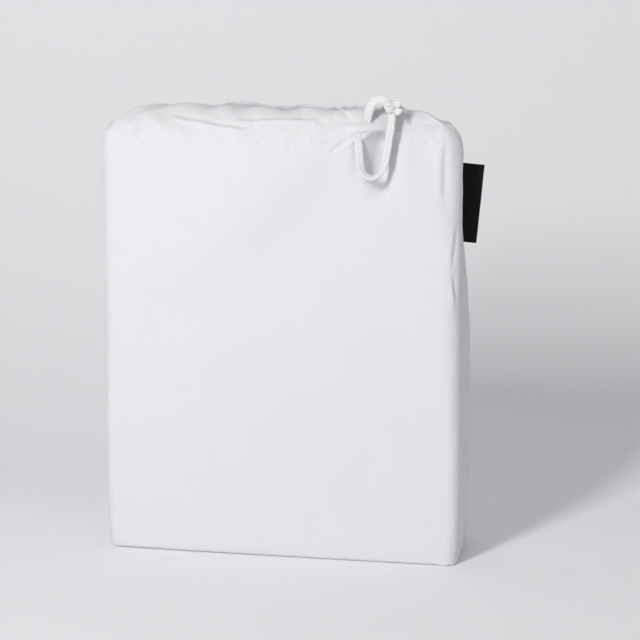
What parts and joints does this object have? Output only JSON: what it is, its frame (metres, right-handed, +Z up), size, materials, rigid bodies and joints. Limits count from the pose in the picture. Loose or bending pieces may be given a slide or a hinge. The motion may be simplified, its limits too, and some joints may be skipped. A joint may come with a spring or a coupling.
{
  "type": "mattress protector folded in its drawstring cloth bag",
  "caption": "White cotton drawstring bag filled square by a folded mattress protector, its mouth gathered along the top, with a knotted drawcord and a plain black side label.",
  "frame": {"origin": "on the floor, under the middle of the bag", "axes": "+Z up along the bag's height, +X towards the labelled side, -Y out of the front"},
  "size_m": [0.3008, 0.1034, 0.3626],
  "materials": {
    "bag_cotton": "plain woven cotton, matt",
    "cord_cotton": "soft woven cotton cord, matt",
    "label_weave": "black woven ribbon, slightly satin"
  },
  "bodies": {
    "root": {"filled_bag": "bag_cotton", "drawcord": "cord_cotton", "cord_knot": "cord_cotton", "side_label": "label_weave"}
  },
  "joints": []
}
